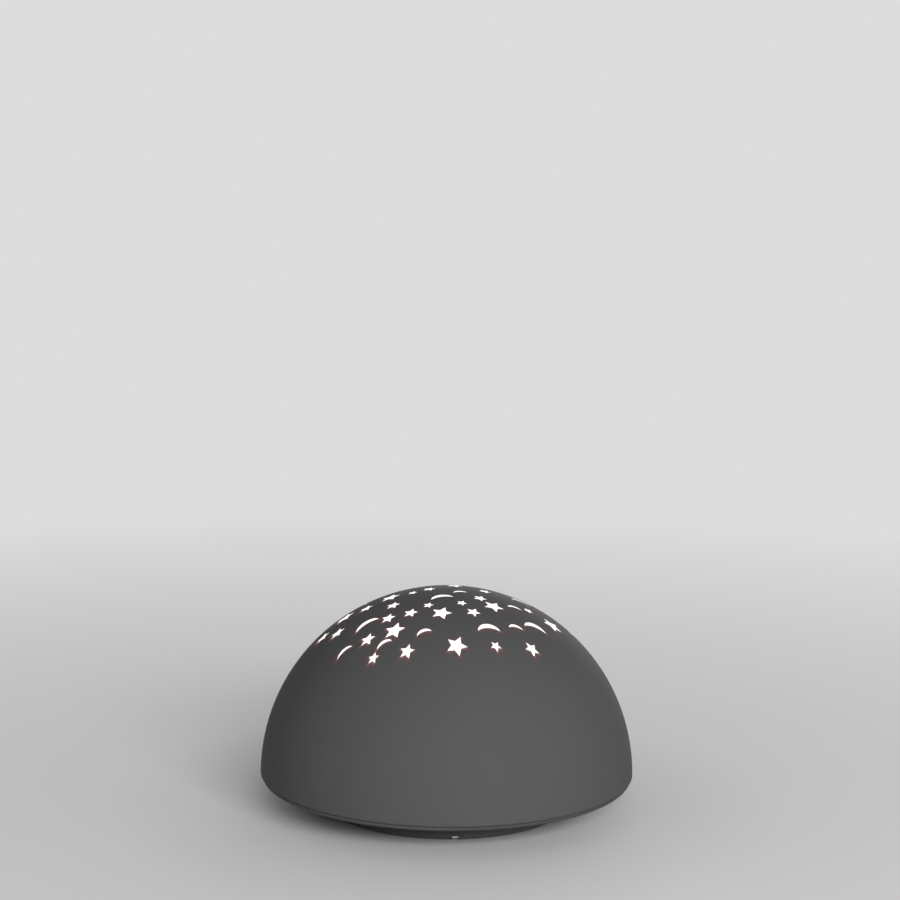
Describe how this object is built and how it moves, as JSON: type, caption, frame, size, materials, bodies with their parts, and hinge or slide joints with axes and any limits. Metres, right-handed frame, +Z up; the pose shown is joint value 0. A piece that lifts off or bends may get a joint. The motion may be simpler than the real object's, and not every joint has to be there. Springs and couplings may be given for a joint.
{
  "type": "star night light projector",
  "caption": "Battery night light: an opaque dome pierced with stars and crescents, a lit liner, coloured lamps, a flat base with a battery door, a slide switch and a mode button.",
  "frame": {"origin": "on the dome's axis, on the table under the rubber feet", "axes": "+Z up along the dome's axis, -Y towards the front as pictured, +X to the right"},
  "size_m": [0.12, 0.1205, 0.0706],
  "materials": {
    "dome_plastic": "fine satin moulded shell",
    "clear_plastic": "clear frosted cap",
    "base_plastic": "satin moulded base",
    "zinc_screw": "zinc plated",
    "brass": "turned brass",
    "foam": "soft foam",
    "foot_rubber": "matt rubber",
    "white_plastic": "glossy white",
    "white_board": "white solder mask",
    "red_lens": "lit red lens",
    "green_lens": "lit green lens",
    "blue_lens": "lit blue lens",
    "ceramic": "ceramic chip",
    "green_board": "green solder mask",
    "switch_steel": "folded steel case",
    "black_plastic": "black knob",
    "capacitor_sleeve": "dark blue sleeve",
    "cream_plastic": "cream nylon",
    "cell_wrap": "printed sleeve, no lettering",
    "spring_steel": "nickel plated wire",
    "red_insulation": "red wire",
    "black_insulation": "black wire",
    "white_insulation": "white wire",
    "yellow_insulation": "yellow wire"
  },
  "bodies": {
    "housing": {"dome_shell": "dome_plastic", "window_liner": "clear_plastic", "base_tray": "base_plastic", "screw_insert": "brass", "housing_screws": "zinc_screw", "rubber_feet": "foot_rubber", "reflector_plate": "white_plastic", "reflector_screws": "zinc_screw", "led_board": "white_board", "led_board_screws": "zinc_screw", "red_leds": "red_lens", "green_leds": "green_lens", "blue_leds": "blue_lens", "led_resistors": "ceramic", "control_board": "green_board", "control_board_screws": "zinc_screw", "power_switch_body": "switch_steel", "controller_chip": "black_plastic", "capacitor": "capacitor_sleeve", "board_resistors": "ceramic", "cable_connector": "cream_plastic", "button_board": "green_board", "button_switch_body": "black_plastic", "battery_cells": "cell_wrap", "battery_springs": "spring_steel", "battery_contacts": "spring_steel", "red_battery_lead": "red_insulation", "black_battery_lead": "black_insulation", "led_cable": "white_insulation", "button_wires": "yellow_insulation"},
    "door": {"battery_door": "base_plastic", "battery_door_screw": "zinc_screw", "battery_pad": "foam"},
    "slider": {"power_switch_slider": "black_plastic"},
    "button": {"mode_button": "dome_plastic"},
    "plunger": {"button_switch_plunger": "black_plastic"}
  },
  "joints": [
    {"name": "battery_door_hinge", "type": "hinge", "parent": "housing", "child": "door", "pos_m": [-0.02815, 0, 0.001], "axis": [0, 1, 0], "range_deg": [0, 45]},
    {"name": "power_switch_slide", "type": "slide", "parent": "housing", "child": "slider", "axis": [1, 0, 0], "range_m": [-0.002, 0]},
    {"name": "mode_button_press", "type": "slide", "parent": "housing", "child": "button", "axis": [0, -1, 0], "range_m": [0, 0.0005], "stiffness_N_per_m": 1500},
    {"name": "switch_plunger_press", "type": "slide", "parent": "housing", "child": "plunger", "axis": [0, -1, 0], "range_m": [0, 0.0005]}
  ],
  "couplings": [
    {"joint": "switch_plunger_press", "follows": "mode_button_press", "ratio": 1}
  ]
}
